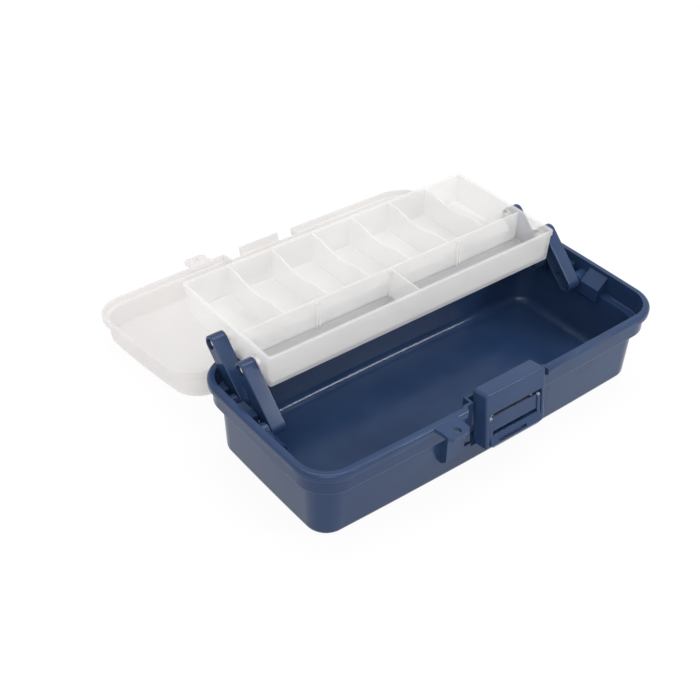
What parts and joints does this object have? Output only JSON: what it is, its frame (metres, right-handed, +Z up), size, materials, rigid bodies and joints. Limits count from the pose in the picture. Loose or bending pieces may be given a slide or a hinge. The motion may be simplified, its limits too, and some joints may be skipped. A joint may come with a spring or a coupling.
{
  "type": "tackle box",
  "caption": "Shallow moulded hinged-lid box, open, with a cantilever lift-out tray on four swing arms, a partitioned translucent tray, a fold-flat handle and an over-centre front latch.",
  "frame": {"origin": "middle of the base tub's footprint, on the surface it stands on", "axes": "+X along the box to the right as seen from the latch, +Y from the latch to the hinge, +Z up"},
  "size_m": [0.33, 0.3398, 0.0954],
  "materials": {
    "navy_plastic": "satin moulded",
    "frosted_plastic": "frosted translucent",
    "white_plastic": "natural",
    "steel": "drawn wire"
  },
  "bodies": {
    "base": {"base_tub": "navy_plastic", "lever_pin": "steel", "arm_pin_left_front": "navy_plastic", "arm_pin_left_rear": "navy_plastic", "arm_pin_right_front": "navy_plastic", "arm_pin_right_rear": "navy_plastic", "hinge_pin_left": "steel", "hinge_pin_right": "steel"},
    "lid": {"lid_shell": "frosted_plastic"},
    "handle": {"carry_handle": "frosted_plastic"},
    "tray": {"tray": "frosted_plastic", "tray_divider": "frosted_plastic", "tray_pin_left_front": "white_plastic", "tray_pin_left_rear": "white_plastic", "tray_pin_right_front": "white_plastic", "tray_pin_right_rear": "white_plastic"},
    "lever": {"latch_lever": "navy_plastic", "frame_pin": "steel"},
    "frame": {"latch_frame": "navy_plastic"},
    "arm_left_front": {"arm_left_front": "navy_plastic"},
    "arm_left_rear": {"arm_left_rear": "navy_plastic"},
    "arm_right_front": {"arm_right_front": "navy_plastic"},
    "arm_right_rear": {"arm_right_rear": "navy_plastic"}
  },
  "joints": [
    {"name": "lid_hinge", "type": "hinge", "parent": "base", "child": "lid", "pos_m": [0, 0.081, 0.0572], "axis": [1, 0, 0], "range_deg": [0, 188.4]},
    {"name": "handle_hinge", "type": "hinge", "parent": "lid", "child": "handle", "pos_m": [0, 0.14281, 0.01714], "axis": [-1, 0, 0], "range_deg": [0, 90]},
    {"name": "lever_hinge", "type": "hinge", "parent": "base", "child": "lever", "pos_m": [0, -0.0774, 0.0524], "axis": [-1, 0, 0], "range_deg": [-10, 80]},
    {"name": "frame_hinge", "type": "hinge", "parent": "lever", "child": "frame", "pos_m": [0, -0.07858, 0.04348], "axis": [-1, 0, 0], "range_deg": [-120.2, 15.2]},
    {"name": "arm_left_front_hinge", "type": "hinge", "parent": "base", "child": "arm_left_front", "pos_m": [-0.1434, 0.0039, 0.0517], "axis": [1, 0, 0], "range_deg": [0, 115.1]},
    {"name": "arm_left_rear_hinge", "type": "hinge", "parent": "base", "child": "arm_left_rear", "pos_m": [-0.1434, 0.0408, 0.0517], "axis": [1, 0, 0], "range_deg": [0, 115.1]},
    {"name": "arm_right_front_hinge", "type": "hinge", "parent": "base", "child": "arm_right_front", "pos_m": [0.1434, 0.0039, 0.0517], "axis": [1, 0, 0], "range_deg": [0, 115.1]},
    {"name": "arm_right_rear_hinge", "type": "hinge", "parent": "base", "child": "arm_right_rear", "pos_m": [0.1434, 0.0408, 0.0517], "axis": [1, 0, 0], "range_deg": [0, 115.1]},
    {"name": "tray_hinge", "type": "hinge", "parent": "arm_left_rear", "child": "tray", "pos_m": [-0.1434, 0.07245, 0.08227], "axis": [1, 0, 0], "range_deg": [-115.1, 0]}
  ],
  "couplings": [
    {"joint": "frame_hinge", "follows": "lever_hinge", "ratio": -1.5},
    {"joint": "arm_left_front_hinge", "follows": "lid_hinge", "ratio": 0.61093},
    {"joint": "arm_left_rear_hinge", "follows": "lid_hinge", "ratio": 0.61093},
    {"joint": "arm_right_front_hinge", "follows": "lid_hinge", "ratio": 0.61093},
    {"joint": "arm_right_rear_hinge", "follows": "lid_hinge", "ratio": 0.61093},
    {"joint": "tray_hinge", "follows": "lid_hinge", "ratio": -0.61093}
  ]
}
